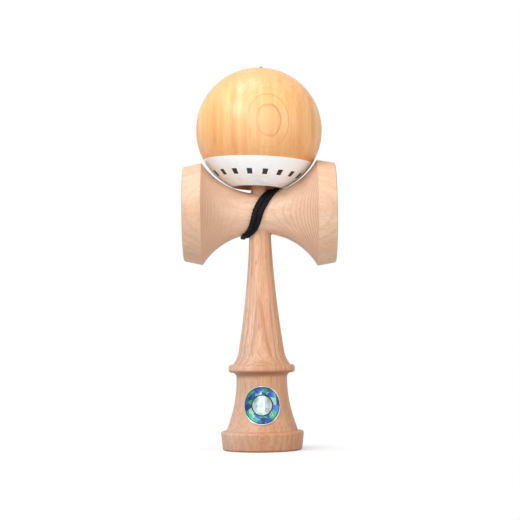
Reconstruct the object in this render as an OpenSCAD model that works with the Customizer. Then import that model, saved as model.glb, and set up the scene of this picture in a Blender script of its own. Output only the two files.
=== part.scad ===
// A kendama: a turned handle with a spike and a base cup, a cross-piece with two cups,
// and a drilled ball tied to them by one braided string.
// Origin at the middle of the base, +Z up along the handle, the big cup towards +X,
// the string hole of the cross-piece at the back, towards +Y. Millimetres.

/* [Handle] */
// Radius of the base ring at its upper edge
base_r = 19.7; // [18:0.1:22]
// How much smaller the radius of the base ring is at its foot
foot_taper = 1; // [0:0.1:2]
// Height of the base ring
base_ring_h = 9.1; // [8:0.1:12]
// Rounding of the edges of the base ring
base_round = 1.2; // [0.4:0.1:2]
// Radius of the mouth of the base cup
base_cup_r = 15; // [12:0.1:16]
// Depth of the base cup
base_cup_depth = 6.5; // [4:0.1:8]
// Step from the base ring in to the flare above it
ring_step = 2.9; // [1.5:0.1:4]
// Radius of the waist below the collar
waist_r = 12; // [10:0.1:13.5]
// How far the flare bows inwards at its middle
flare_hollow = 1.3; // [0.2:0.05:1.6]
// Radius of the collar
collar_r = 15.7; // [14.5:0.1:18]
// Height of the underside of the collar
collar_z = 36.5; // [33:0.1:42]
// Thickness of the collar's lip
collar_h = 3.7; // [2.4:0.1:5]
// Rounding of the edges of the collar
collar_round = 1; // [0.2:0.1:1.2]
// Radius of the cove under the collar
collar_cove = 2.2; // [1:0.1:2.8]
// Radius of the ledge on top of the collar where the grip begins
ledge_r = 13.6; // [12.5:0.1:14]
// How far the slope from the ledge to the grip bows inwards
ledge_hollow = 0.5; // [0:0.05:0.8]
// Radius of the grip at its lower end
grip_r = 10.8; // [9:0.1:12]
// Height from the collar's top to the lower end of the grip
grip_rise = 6.3; // [4:0.1:9]
// Radius of the grip at its upper end, under the cross-piece
grip_top_r = 5.1; // [4.8:0.1:6.5]
// How far the grip bows inwards at its middle
grip_hollow = 0.85; // [0:0.05:1.2]
// Radius of the spike where it leaves the cross-piece
spike_r = 4.3; // [3.8:0.1:4.8]
// How much longer the spike is than the radius of the ball
spike_over = 7; // [4:0.5:9]
// Radius of the rounded tip of the spike
spike_tip_r = 1.6; // [1:0.1:2.2]

/* [Cross-piece] */
// Height of the axis of the cross-piece
cross_z = 112; // [108:0.5:125]
// Radius of the neck between the cups
neck_r = 9.5; // [8.5:0.1:11]
// Distance from the handle's axis to the rim of the big cup
big_len = 36; // [34:0.1:42]
// Distance from the handle's axis to the edge of the big flare
big_flare_x = 27.3; // [26:0.1:30]
// Radius of the edge of the big flare
big_flare_r = 25.2; // [24:0.1:27]
// Radius of the outer end of the big cup
big_end_r = 23.7; // [22.5:0.1:25]
// Radius of the mouth of the big cup
big_mouth_r = 20.6; // [18:0.1:21.5]
// Depth of the big cup
big_depth = 9.5; // [6:0.1:12]
// Distance from the handle's axis to the rim of the small cup
small_len = 36.3; // [34:0.1:42]
// Distance from the handle's axis to the edge of the small flare
small_flare_x = 27.5; // [26:0.1:30]
// Radius of the edge of the small flare
small_flare_r = 24.3; // [23:0.1:26]
// Radius of the outer end of the small cup
small_end_r = 22.4; // [21:0.1:23.5]
// Radius of the mouth of the small cup
small_mouth_r = 18.8; // [16:0.1:20]
// Depth of the small cup
small_depth = 8.5; // [6:0.1:11]
// Rounding of the edges of the cups
cup_round = 0.9; // [0.3:0.1:1.2]
// Clearance of the taper on which the cross-piece is pushed
taper_gap = 0.06; // [0.02:0.01:0.15]

/* [Ball] */
// Radius of the ball
ball_r = 30; // [29:0.1:31.5]
// Radius of the bevelled mouth of the hole
mouth_r = 12; // [11.6:0.1:13]
// Radius of the hole
bore_r = 10.5; // [9.8:0.1:11]
// Height of the bevel at the mouth of the hole
bevel_h = 2.4; // [0.5:0.1:2.5]
// Room between the tip of the spike and the end of the hole
tip_room = 3; // [1.5:0.1:5]
// Rounding of the mouth of the string hole, as a share of the radius of the ball
string_mouth_share = 0.12; // [0.04:0.01:0.14]
// Clearance between the rim of the hole and the neck it rests on
rest_gap = 0.35; // [0.25:0.01:0.6]
// Lean of the resting ball towards the big cup, in degrees
ball_lean = 2.5; // [0:0.1:3]

/* [String] */
// Diameter of the string
string_d = 2.1; // [1.6:0.1:2.3]
// Room round the string in its holes
string_gap = 0.4; // [0.2:0.05:0.5]
// Diameter of the bead that keeps the string in the ball
bead_d = 8; // [6:0.1:9]
// Height of the bead
bead_h = 6; // [4:0.1:6.5]
// Clearance of the bead in its pocket and of the knots in theirs
bead_gap = 0.3; // [0.2:0.05:0.5]
// Diameter of the knots
knot_d = 5.2; // [4.4:0.1:5.4]

/* [Label] */
// Radius of the round label on the base
label_r = 9; // [6:0.1:10]
// Thickness of the label
label_t = 0.25; // [0.2:0.05:0.4]
// Height of the middle of the label
label_z = 21.4; // [20:0.1:23]
// Thickness of the glue under the label
label_glue = 0.08; // [0.05:0.01:0.15]

/* [Hidden] */
$fn = 96;
overrun = 1;
beech = "#E3B68F";
pale_beech = "#EBD0B5";
lacquered_beech = "#F2BC7C";
string_black = "#26242A";
foil = "#7FA9C6";
bead_white = "#EDE9E0";
arc_steps = 8;
curve_steps = 14;
flare_steps = 28;

// Heights and radii of the handle
foot_r = base_r - foot_taper;
flare_r = base_r - ring_step;
collar_top = collar_z + collar_h;
grip_z = collar_top + grip_rise;
flare_z = base_ring_h + base_round / 2;
flare_top = collar_z - collar_cove;
seat_z = cross_z - neck_r;
neck_top = cross_z + neck_r;
tip_z = neck_top + ball_r + spike_over;
taper_slope = (grip_top_r - spike_r) / (neck_top - seat_z);

// Arcs of the flares, tangent to the neck at the handle's axis
function sagitta_radius(run, rise) = (run * run + rise * rise) / (2 * rise);
big_arc = sagitta_radius(big_flare_x, big_flare_r - neck_r);
small_arc = sagitta_radius(small_flare_x, small_flare_r - neck_r);
function neck_at(x) =
    let(arc = x < 0 ? small_arc : big_arc) neck_r + arc - sqrt(arc * arc - x * x);

// Ball: it rests by the rim of its hole on the neck
mouth_drop = sqrt(ball_r * ball_r - mouth_r * mouth_r);
ball_z = cross_z + neck_at(mouth_r) + rest_gap + mouth_drop;
string_hole_r = string_d / 2 + string_gap;
string_mouth_round = ball_r * string_mouth_share;
pocket_r = bead_d / 2 + bead_gap;
bore_top = tip_z + tip_room - ball_z;
knot_h_share = 0.75;
knot_h = knot_d * knot_h_share;
bead_z = bore_top + knot_h;
pocket_top = bead_z + bead_h + bead_gap;

// Points of a round arc
function arc(middle, radius, from, to, steps) =
    [for (i = [0:steps])
        let(a = from + (to - from) * i / steps) middle + radius * [cos(a), sin(a)]];

// A rounded corner at b, between the points a and c
function unit(v) = v / norm(v);
function corner(a, b, c, radius) =
    let(u = unit(a - b), w = unit(c - b), half = acos(u * w) / 2,
        middle = b + unit(u + w) * radius / sin(half),
        p = b + u * radius / tan(half) - middle, q = b + w * radius / tan(half) - middle,
        from = atan2(p.y, p.x), turn = (atan2(q.y, q.x) - from + 540) % 360 - 180)
    arc(middle, radius, from, from + turn, arc_steps);

// A line from p to q that bows towards the axis by hollow at its middle
function bowed(p, q, hollow, steps) =
    [for (i = [0:steps]) let(t = i / steps) p + (q - p) * t - [4 * hollow * t * (1 - t), 0]];

// A round cup, from its bottom to its mouth; up is 1 where the mouth is at the low end
function cup(mouth, depth, z, up) =
    let(ball = sagitta_radius(mouth, depth), span = asin(mouth / ball))
    [for (i = [0:flare_steps])
        let(a = span * i / flare_steps) [ball * sin(a), z + up * (depth - ball + ball * cos(a))]];

function reversed(p) = [for (i = [len(p) - 1:-1:0]) p[i]];

// Flare of the base, shared by the handle and the label
flare_low = [flare_r, flare_z];
flare_high = [waist_r, flare_top];
function flare_at(z) =
    let(t = (z - flare_z) / (flare_top - flare_z))
    flare_r + (waist_r - flare_r) * t - 4 * flare_hollow * t * (1 - t);

// Handle: base cup, base ring, flare, collar, grip, taper and spike in one turning
ken_foot = [foot_r, 0];
ken_ring = [base_r, base_ring_h];
ken_lip_low = [collar_r, collar_z];
ken_lip_high = [collar_r, collar_top];
ken_outline = concat(
    cup(base_cup_r, base_cup_depth, 0, 1),
    corner([base_cup_r, 0], ken_foot, ken_ring, base_round),
    corner(ken_foot, ken_ring, [flare_r, base_ring_h], base_round),
    bowed(flare_low, flare_high, flare_hollow, curve_steps),
    arc([waist_r + collar_cove, flare_top], collar_cove, 180, 90, arc_steps),
    corner([waist_r, collar_z], ken_lip_low, ken_lip_high, collar_round),
    corner(ken_lip_low, ken_lip_high, [ledge_r, collar_top], collar_round),
    bowed([ledge_r, collar_top], [grip_r, grip_z], ledge_hollow, arc_steps),
    bowed([grip_r, grip_z], [grip_top_r, seat_z], grip_hollow, flare_steps),
    [[spike_r, neck_top]],
    arc([0, tip_z - spike_tip_r], spike_tip_r, 0, 90, arc_steps));

// Hole through the taper of the handle: narrow behind for the string, wide in front for the knot
knot_y = string_d / 2;
module string_hole(radius) {
    translate([0, 0, cross_z])
        rotate([-90, 0, 0])
            cylinder(r = radius, h = neck_r + overrun);
}

module ken() {
    color(beech)
        difference() {
            rotate_extrude()
                polygon(ken_outline);
            string_hole(string_hole_r);
            translate([0, knot_y + bead_gap, cross_z])
                rotate([90, 0, 0])
                    cylinder(d = knot_d + 2 * bead_gap, h = neck_r);
        }
}

// Cross-piece: two cups back to back on one waisted neck, turned about X
sarado_small_end = [small_end_r, -small_len];
sarado_small_edge = [small_flare_r, -small_flare_x];
sarado_big_edge = [big_flare_r, big_flare_x];
sarado_big_end = [big_end_r, big_len];
function neck_points(from, to) =
    [for (i = [0:flare_steps])
        let(x = from + (to - from) * i / flare_steps) [neck_at(x), x]];
// The flare stops short of its edge by the length of the edge's rounding
edge_stop_share = 0.97;
sarado_outline = concat(
    cup(small_mouth_r, small_depth, -small_len, 1),
    corner([small_mouth_r, -small_len], sarado_small_end, sarado_small_edge, cup_round),
    corner(sarado_small_end, sarado_small_edge,
           [neck_at(-small_flare_x * edge_stop_share), -small_flare_x * edge_stop_share], cup_round / 2),
    neck_points(-small_flare_x * edge_stop_share, 0),
    neck_points(0, big_flare_x * edge_stop_share),
    corner([neck_at(big_flare_x * edge_stop_share), big_flare_x * edge_stop_share],
           sarado_big_edge, sarado_big_end, cup_round / 2),
    corner(sarado_big_edge, sarado_big_end, [big_mouth_r, big_len], cup_round),
    reversed(cup(big_mouth_r, big_depth, big_len, -1)));

module sarado() {
    color(pale_beech)
        difference() {
            translate([0, 0, cross_z])
                rotate([0, 90, 0])
                    rotate_extrude()
                        polygon(sarado_outline);
            translate([0, 0, seat_z - overrun])
                cylinder(r1 = grip_top_r + taper_gap + taper_slope * overrun,
                         r2 = spike_r + taper_gap - taper_slope * overrun,
                         h = neck_top - seat_z + 2 * overrun);
            string_hole(string_hole_r);
        }
}

// Ball: sphere with a bevelled hole, a pocket for the bead and a string hole with a round mouth
mouth_ring = [string_hole_r + string_mouth_round,
              sqrt(pow(ball_r - string_mouth_round, 2) - pow(string_hole_r + string_mouth_round, 2))];
ring_turn = atan2(mouth_ring.y, mouth_ring.x);
tama_outline = concat(
    [[bore_r, bevel_h - mouth_drop]],
    arc([0, 0], ball_r, -acos(mouth_r / ball_r), ring_turn, 2 * flare_steps),
    arc(mouth_ring, string_mouth_round, ring_turn, 180, arc_steps),
    [[string_hole_r, pocket_top], [pocket_r, pocket_top], [pocket_r, bore_top], [bore_r, bore_top]]);

module in_ball() {
    translate([0, 0, ball_z])
        rotate([0, ball_lean, 0])
            children();
}

module tama() {
    color(lacquered_beech)
        in_ball()
            rotate_extrude()
                polygon(tama_outline);
}

// Label: a round foil sticker bent to the flare, on the front of the base
label_rings = 6;
label_sectors = 32;
function on_flare(along, z, out) =
    let(radius = flare_at(z) + out, a = along / radius * 180 / PI)
    [radius * sin(a), -radius * cos(a), z];
function label_skin(out) = concat(
    [on_flare(0, label_z, out)],
    [for (i = [1:label_rings])
        for (k = [0:label_sectors - 1])
            let(reach = label_r * i / label_rings, a = 360 * k / label_sectors)
            on_flare(reach * cos(a), label_z + reach * sin(a), out)]);
function label_point(i, k) = i == 0 ? 0 : 1 + (i - 1) * label_sectors + k % label_sectors;
label_faces = [for (i = [0:label_rings - 1])
    for (k = [0:label_sectors - 1])
        for (f = [[label_point(i, k), label_point(i + 1, k), label_point(i + 1, k + 1)],
                  [label_point(i, k), label_point(i + 1, k + 1), label_point(i, k + 1)]])
            if (f[0] != f[2]) f];
label_count = 1 + label_rings * label_sectors;
module label() {
    color(foil)
        polyhedron(
            concat(label_skin(label_glue), label_skin(label_glue + label_t)),
            concat(
                label_faces,
                [for (f = label_faces) [f[2] + label_count, f[1] + label_count, f[0] + label_count]],
                [for (k = [0:label_sectors - 1])
                    for (f = [[label_point(label_rings, k + 1), label_point(label_rings, k),
                               label_point(label_rings, k) + label_count],
                              [label_point(label_rings, k + 1), label_point(label_rings, k) + label_count,
                               label_point(label_rings, k + 1) + label_count]])
                        f]));
}

// Knots: a turned bulb, flat where the string comes out of it
module knot() {
    rotate_extrude()
        polygon(concat(
            [[0, 0], [string_d / 2, 0]],
            arc([0, -knot_h / 2], knot_d / 2, 45, -45, arc_steps),
            [[0, -knot_h]]));
}

module string_anchor_knot() {
    color(string_black)
        translate([0, knot_y, cross_z])
            rotate([-90, 0, 0])
                knot();
}

module string_end_knot() {
    color(string_black)
        in_ball()
            translate([0, 0, bead_z])
                knot();
}

// Bead: a turned barrel with the string through it
bead_round_share = 0.3;
bead_round = bead_h * bead_round_share;
module string_bead() {
    color(bead_white)
        in_ball()
            translate([0, 0, bead_z])
                difference() {
                    rotate_extrude()
                        polygon(concat(
                            [[0, 0]],
                            arc([bead_d / 2 - bead_round, bead_round], bead_round, -90, 0, arc_steps),
                            arc([bead_d / 2 - bead_round, bead_h - bead_round], bead_round, 0, 90, arc_steps),
                            [[0, bead_h]]));
                    translate([0, 0, -overrun])
                        cylinder(r = string_d / 2 + bead_gap, h = bead_h + 2 * overrun);
                }
}

// Sweep of a closed tube along points, with its rings square to the route
function along(p, i) =
    i == 0 ? unit(p[1] - p[0])
    : i == len(p) - 1 ? unit(p[i] - p[i - 1])
    : unit(unit(p[i + 1] - p[i]) + unit(p[i] - p[i - 1]));
function carry(p, i, side) =
    let(t = along(p, i), s = unit(side - t * (side * t)))
    i == len(p) - 1 ? [s] : concat([s], carry(p, i + 1, s));
module tube(p, d, sides, side) {
    frames = carry(p, 0, side);
    rings = [for (i = [0:len(p) - 1])
        let(t = along(p, i), u = frames[i], w = cross(t, u))
        for (k = [0:sides - 1])
            let(a = 360 * k / sides) p[i] + d / 2 * (u * cos(a) + w * sin(a))];
    last = len(rings) - sides;
    polyhedron(rings, concat(
        [for (k = [1:sides - 2]) [0, k, k + 1]],
        [for (i = [0:len(p) - 2])
            for (k = [0:sides - 1])
                let(a = i * sides + k, b = i * sides + (k + 1) % sides)
                [a, a + sides, b]],
        [for (i = [0:len(p) - 2])
            for (k = [0:sides - 1])
                let(a = i * sides + k, b = i * sides + (k + 1) % sides)
                [b, a + sides, b + sides]],
        [for (k = [1:sides - 2]) [last, last + k + 1, last + k]]));
}

// Winding of the string: out of the hole at the back, twice round the neck, off at the back.
// Its middle line leans over the front of the neck, passes the spike on the side of the big cup and
// the grip on the side of the small cup, and the two turns lie beside that line.
wind_sides = 6;
wind_steps = 24;
wind_turns = 1.5;
wind_pitch = 2.6;
wind_mid = -0.8;
wind_slant = 3.8;
wind_low_slant = 2.6;
wind_round_share = 0.97;
wind_spike_side = 1.95;
wind_grip_side = 1.7;
wind_grip_power = 6;
wind_back_side = 3.9;
wind_lift = 0.3;
wind_lead = [0, 8, 0];
wind_lead_end = 17;
wind_tail_start = 8;
wind_tail = [0, 0, 12];
wind_end = [5.2, 13.2, 110];
lead_steps = 9;
first_turn = 90;
last_turn = first_turn + 360 * wind_turns;
function wind_turned(h) = asin(wind_round_share * h) * PI / 180;
wind_front_side = wind_grip_side + (wind_slant - wind_low_slant) * wind_turned(1);
function wind_under(a) = cos(a) < 0
    ? wind_low_slant * wind_turned(-sin(a)) - wind_front_side * pow(sin(a), wind_grip_power)
    : wind_slant * wind_turned(-sin(a)) - wind_grip_side * pow(sin(a), 2);
function wind_over(a) = wind_slant * wind_turned(-sin(a)) + wind_spike_side * pow(sin(a), 2);
function wind_line(a) =
    wind_mid + (sin(a) > 0 ? wind_under(a) : wind_over(a)) + wind_back_side * pow(max(0, cos(a)), 2);
function wind_radius(x) = neck_at(x) + string_d / 2 + wind_lift;
function wind_at(a) =
    let(line = wind_line(a), radius = wind_radius(line),
        slope = (wind_line(a + 1) - wind_line(a - 1)) * 90 / PI,
        run = norm([radius, slope]), aside = wind_pitch * (a - 360) / 360,
        x = line + aside * radius / run, turn = a - aside * slope / (radius * run) * 180 / PI)
    [x, wind_radius(x) * cos(turn), cross_z - wind_radius(x) * sin(turn)];
function wind_way(a) = unit(wind_at(a + 1) - wind_at(a - 1));
function bezier(a, b, c, d, t) =
    a * pow(1 - t, 3) + b * 3 * t * pow(1 - t, 2) + c * 3 * t * t * (1 - t) + d * pow(t, 3);
wind_start = [0, neck_r + string_d / 2, cross_z];
wind_in = wind_at(first_turn);
wind_out = wind_at(last_turn);
wind_points = concat(
    [[0, knot_y, cross_z], [0, neck_r / 2, cross_z]],
    [for (i = [0:lead_steps - 1])
        bezier(wind_start, wind_start + wind_lead, wind_in - wind_lead_end * wind_way(first_turn), wind_in,
               i / lead_steps)],
    [for (i = [0:wind_steps * wind_turns]) wind_at(first_turn + 360 * i / wind_steps)],
    [for (i = [1:lead_steps])
        bezier(wind_out, wind_out + wind_tail_start * wind_way(last_turn), wind_end + wind_tail, wind_end,
               i / lead_steps)],
    [wind_end - [0, 0, string_d]]);

// Least gap of the winding to itself, on four points a ring, between stretches a third of a turn apart
wind_fine = [for (i = [0:len(wind_points) - 2])
    for (k = [0:3]) wind_points[i] + (wind_points[i + 1] - wind_points[i]) * k / 4];
wind_apart = 4 * wind_steps / 3;
wind_gaps = [for (i = [0:len(wind_fine) - 1])
    for (k = [i + wind_apart:1:len(wind_fine) - 1]) norm(wind_fine[i] - wind_fine[k]) - string_d];
echo(string_wrap_least_gap = min(wind_gaps));

module string_wrap() {
    color(string_black)
        tube(wind_points, string_d, wind_sides, [1, 0, 0]);
}

// Slack of the string: down behind the grip and round the bottom of its loop
tube_sides = 8;
bight_points = [[5.2, 13.2, 107.9], [5.2, 13.2, 106.4], [4.2, 13.2, 102.4], [3.4, 13.2, 98], [2.9, 13.2, 92],
    [2.5, 13.2, 86], [2.2, 13.2, 80], [2, 13.3, 74], [2, 13.4, 68], [2, 13.5, 63], [2, 14.2, 58.5],
    [2, 15.8, 54.8], [2, 18.8, 52], [2, 22.5, 51], [2, 26.2, 52], [2, 29.2, 54.8], [2, 30.8, 58.5],
    [2, 31.5, 63], [2, 31.5, 66]];
// Up again to the ball, over its back and down its string hole to the bead
riser_points = [[2, 31.5, 66], [2, 31.5, 70], [2, 31.6, 76], [2, 31.7, 84], [1.9, 31.8, 92], [1.8, 31.8, 100],
    [1.7, 31.8, 108], [1.6, 31.8, 116], [1.5, 31.8, 124], [1.4, 31.8, 132], [1.4, 31.8, 140],
    [1.4, 31.9, 148], [1.4, 31.6, 155], [1.4, 30.3, 161.5], [1.4, 28, 167.2], [1.4, 24.7, 172.1],
    [1.4, 20.5, 176.2], [1.4, 15.7, 179.4], [1.4, 11.4, 181.3], [1.3, 7.6, 182.4], [1.3, 5, 182.6],
    [1.3, 3, 182.1], [1.3, 1.3, 180.9], [1.3, 0.3, 179.2], [1.1, 0, 177], [1, 0, 174],
    [0.8, 0, 170], [0.6, 0, 165.5]];

module string_bight() {
    color(string_black)
        tube(bight_points, string_d, tube_sides, [1, 0, 0]);
}

module string_riser() {
    color(string_black)
        tube(riser_points, string_d, tube_sides, [1, 0, 0]);
}

ken();
sarado();
tama();
label();
string_anchor_knot();
string_wrap();
string_bight();
string_riser();
string_bead();
string_end_knot();
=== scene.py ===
import math

import bmesh
import bpy
from mathutils import Matrix, Vector


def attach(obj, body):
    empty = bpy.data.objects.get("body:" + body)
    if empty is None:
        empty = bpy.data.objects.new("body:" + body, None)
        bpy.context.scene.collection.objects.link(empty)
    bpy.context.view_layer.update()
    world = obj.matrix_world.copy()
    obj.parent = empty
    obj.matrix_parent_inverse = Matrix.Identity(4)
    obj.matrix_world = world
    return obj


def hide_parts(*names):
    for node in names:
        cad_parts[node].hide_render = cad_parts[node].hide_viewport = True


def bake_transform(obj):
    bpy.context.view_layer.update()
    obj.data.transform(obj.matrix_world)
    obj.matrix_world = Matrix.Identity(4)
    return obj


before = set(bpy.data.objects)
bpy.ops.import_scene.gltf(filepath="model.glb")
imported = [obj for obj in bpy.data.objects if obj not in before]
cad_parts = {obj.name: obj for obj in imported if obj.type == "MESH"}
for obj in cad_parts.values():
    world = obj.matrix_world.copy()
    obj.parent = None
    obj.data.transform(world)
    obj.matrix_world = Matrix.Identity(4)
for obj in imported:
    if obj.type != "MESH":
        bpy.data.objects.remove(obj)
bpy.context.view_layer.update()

mm = 0.001
weld = 1e-6              # metres: points closer than this are one point
scene = bpy.context.scene
scene.view_settings.view_transform = "Standard"


# small tools

def hexColor(code):
    # sRGB hex to the linear colour that the nodes want
    parts = [int(code[i:i + 2], 16) / 255 for i in (1, 3, 5)]
    return [p / 12.92 if p <= 0.04045 else ((p + 0.055) / 1.055) ** 2.4 for p in parts] + [1.0]


def grey(value):
    return [value, value, value, 1.0]


def addNode(tree, kind, settings=None, **links):
    # settings are node properties or a ramp's stops, links are socket values or (node, output) pairs
    node = tree.nodes.new("ShaderNode" + kind)
    for key, value in (settings or {}).items():
        if key == "stops":
            bar = node.color_ramp.elements
            for extra in range(len(value) - 2):
                bar.new(0.5)
            for stop, (place, color) in zip(bar, value):
                stop.position = place
                stop.color = color
        else:
            setattr(node, key, value)
    for key, value in links.items():
        numbered = key.startswith("in") and key[2:].isdigit()
        socket = node.inputs[int(key[2:]) if numbered else key.replace("_", " ")]
        if isinstance(value, tuple) and isinstance(value[0], bpy.types.Node):
            tree.links.new(value[0].outputs[value[1]], socket)
        else:
            socket.default_value = value
    return node


def startMaterial(name):
    material = bpy.data.materials.new(name)
    material.use_nodes = True
    tree = material.node_tree
    return material, tree, tree.nodes["Principled BSDF"]


def aimed(spot, aim):
    # stands at spot and looks at aim
    spot = Vector(spot)
    look = (Vector(aim) - spot).to_track_quat("-Z", "Y").to_matrix().to_4x4()
    return Matrix.Translation(spot) @ look


def arcPoints(middle, radius, start, end, steps=10):
    turn = (math.radians(start + (end - start) * i / steps) for i in range(steps + 1))
    return [(middle[0] + radius * math.cos(a), middle[1] + radius * math.sin(a)) for a in turn]


def cornerPoints(before, corner, after, radius, steps=8):
    # a rounded corner in an outline
    corner = Vector(corner)
    u = (Vector(before) - corner).normalized()
    w = (Vector(after) - corner).normalized()
    half = u.angle(w) / 2
    middle = corner + (u + w).normalized() * radius / math.sin(half)
    first = corner + u * radius / math.tan(half) - middle
    last = corner + w * radius / math.tan(half) - middle
    start = math.degrees(math.atan2(first.y, first.x))
    turn = (math.degrees(math.atan2(last.y, last.x)) - start + 540) % 360 - 180
    return arcPoints(middle, radius, start, start + turn, steps)


def bowedPoints(low, high, hollow, steps=24):
    # a line that bows towards the axis by hollow at its middle
    points = []
    for i in range(steps + 1):
        t = i / steps
        radius = low[0] + (high[0] - low[0]) * t
        height = low[1] + (high[1] - low[1]) * t
        points.append((radius - 4 * hollow * t * (1 - t), height))
    return points


def cupPoints(mouth, depth, level, up, steps=28):
    # a round cup from its bottom to its mouth
    sphere = (mouth ** 2 + depth ** 2) / (2 * depth)
    span = math.asin(mouth / sphere)
    turns = [span * i / steps for i in range(steps + 1)]
    return [(sphere * math.sin(a), level + up * (depth - sphere + sphere * math.cos(a))) for a in turns]


def lathe(outline, steps=144):
    # an outline of (radius, height) in mm, spun about Z
    bm = bmesh.new()
    verts = [bm.verts.new((r * mm, 0, z * mm)) for r, z in outline]
    for a, b in zip(verts, verts[1:]):
        bm.edges.new((a, b))
    bmesh.ops.spin(bm, geom=bm.verts[:] + bm.edges[:], cent=(0, 0, 0), axis=(0, 0, 1),
                   angle=math.tau, steps=steps, use_merge=True)
    bmesh.ops.remove_doubles(bm, verts=bm.verts, dist=weld)
    bmesh.ops.dissolve_degenerate(bm, edges=bm.edges, dist=weld / 10)
    bmesh.ops.recalc_face_normals(bm, faces=bm.faces)
    return bm


def rodCutter(start, end, startR, endR, sides=64):
    # a closed rod or cone in mm, used to drill a piece
    start, end = Vector(start), Vector(end)
    bm = bmesh.new()
    way = end - start
    bmesh.ops.create_cone(bm, cap_ends=True, segments=sides, radius1=startR * mm, radius2=endR * mm,
                          depth=way.length * mm)
    turn = way.to_track_quat("Z", "Y").to_matrix()
    bmesh.ops.rotate(bm, verts=bm.verts, cent=(0, 0, 0), matrix=turn)
    bmesh.ops.translate(bm, verts=bm.verts, vec=(start + end) / 2 * mm)
    return bm


def makePiece(name, bm, material, sharp=40, cutters=()):
    # turns a bmesh into a finished object at the origin, drilled by the cutters
    mesh = bpy.data.meshes.new(name)
    bm.to_mesh(mesh)
    bm.free()
    piece = bpy.data.objects.new(name, mesh)
    scene.collection.objects.link(piece)
    for cutter in cutters:
        toolMesh = bpy.data.meshes.new("drill")
        cutter.to_mesh(toolMesh)
        cutter.free()
        tool = bpy.data.objects.new("drill", toolMesh)
        scene.collection.objects.link(tool)
        drill = piece.modifiers.new("drill", "BOOLEAN")
        drill.operation = "DIFFERENCE"
        drill.solver = "EXACT"
        drill.object = tool
        graph = bpy.context.evaluated_depsgraph_get()
        cutMesh = bpy.data.meshes.new_from_object(piece.evaluated_get(graph))
        piece.modifiers.clear()
        piece.data = cutMesh
        bpy.data.objects.remove(tool)
    mesh = piece.data
    mesh.name = name
    mesh.materials.clear()
    mesh.materials.append(material)
    mesh.polygons.foreach_set("use_smooth", [True] * len(mesh.polygons))
    mesh.set_sharp_from_angle(angle=math.radians(sharp))
    return piece


def dressNode(name, material):
    # a solid whose shape is right keeps it and gets a finish
    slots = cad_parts[name].data.materials
    slots.clear()
    slots.append(material)


# camera, a little above the collar and square on to the cross-piece

view = {
    "spot": (0.0, -0.686, 0.050),
    "aim": (-0.0002, 0.0, 0.0898),
    "lens": 100,
    "sensor": 36,
    "nearest": 0.01,
    "rollDegrees": 0.67,
}


def makeCamera(settings):
    data = bpy.data.cameras.new("camera")
    data.lens = settings["lens"]
    data.sensor_width = settings["sensor"]
    data.clip_start = settings["nearest"]
    camera = bpy.data.objects.new("camera", data)
    roll = Matrix.Rotation(-math.radians(settings["rollDegrees"]), 4, "Z")
    camera.matrix_world = aimed(settings["spot"], settings["aim"]) @ roll
    scene.collection.objects.link(camera)
    scene.camera = camera


makeCamera(view)
print("camera placed")


# braided string, in mm

cord = {
    "diameter": 2.4,
    "strands": 8,          # carriers of the braid
    "strandTurn": 7.0,     # length of string in which one strand goes once round
    "relief": 0.16,        # how deep the braid stands, as a share of the radius
    "dip": 0.45,           # how far a strand sinks where it goes under the next
    "sides": 32,
    "ring": 0.22,          # between the tube's rings
    "sheath": "#050506",
    # painted glint: the colour of the lighter filaments, which stands in for light on them
    "glint": "#131217",
    "filamentsRound": 80,  # the real ones are finer, drawn this coarse so that they show
    "filamentLong": 0.5,
    "filamentDeep": 0.05,
    "fibreSpan": (0.35, 0.75),    # the part of the noise that is used
    "bump": 0.35,
    "dull": 0.72, "shiny": 0.6,
    "specular": 0.18,
}

# the cross-piece's neck, which the string is wound on
neck = {
    "height": 112.0, "radius": 9.5,
    "bigX": 27.3, "bigR": 25.2,        # edge of the big cup's flare
    "smallX": 27.5, "smallR": 24.3,    # and of the small cup's
}

wind = {
    "pitch": 2.6,          # between the two turns
    "mid": -0.8,           # where the line between them crosses the front
    "slant": 3.8,          # its lean, in mm per radian round the neck
    "lowSlant": 2.6,       # the lean low on the front
    "roundShare": 0.97,    # below 1 the line bends gently over the top and under the neck
    "spikeSide": 1.95,     # how far it keeps to the side of the spike
    "gripSide": 0.9,       # and to the side of the grip
    "gripPower": 8,        # how late it turns aside for the grip
    "backSide": 3.9,       # how far it runs aside behind
    "stand": 0.9,          # height of the string's middle over the wood
    "flat": 0.38,          # how far it is squashed on the wood
    "wider": 0.17,         # and how much wider that makes it
    "closeUp": 0.22,       # the turns draw together under the neck
    "thicken": 0.2,        # and are squashed less there
    "looseAt": 2.4,        # height over the wood at which it is round again
    "inHole": (8.4, 9.5),  # depths at which it stands straight in its hole
    "hole": 10.55,
    "lead": 8.0, "leadEnd": 17.0,      # reach of the curve from the hole to the first turn
    "firstTurn": 90, "lastTurn": 630,  # degrees round the neck
    "tailStart": 8.0, "tail": 12.0,    # reach of the curve from the last turn to the loop
    "end": (5.2, 13.2, 110.0),
}


def flareArc(run, rise):
    return (run ** 2 + rise ** 2) / (2 * rise)


bigArc = flareArc(neck["bigX"], neck["bigR"] - neck["radius"])
smallArc = flareArc(neck["smallX"], neck["smallR"] - neck["radius"])


def neckRadius(x):
    arc = smallArc if x < 0 else bigArc
    return neck["radius"] + arc - math.sqrt(arc ** 2 - x ** 2)


def windLine(a):
    # leans over the front of the neck, beside the spike above it and beside the grip below it
    sine, cosine = math.sin(math.radians(a)), math.cos(math.radians(a))
    turned = math.asin(-wind["roundShare"] * sine)
    if sine <= 0:
        aside = wind["slant"] * turned + wind["spikeSide"] * sine ** 2
    elif cosine < 0:
        extra = wind["gripSide"] + (wind["slant"] - wind["lowSlant"]) * math.asin(wind["roundShare"])
        aside = wind["lowSlant"] * turned - extra * sine ** wind["gripPower"]
    else:
        aside = wind["slant"] * turned - wind["gripSide"] * sine ** 2
    return wind["mid"] + aside + wind["backSide"] * max(0.0, cosine) ** 2


def windRadius(x):
    return neckRadius(x) + wind["stand"]


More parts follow.
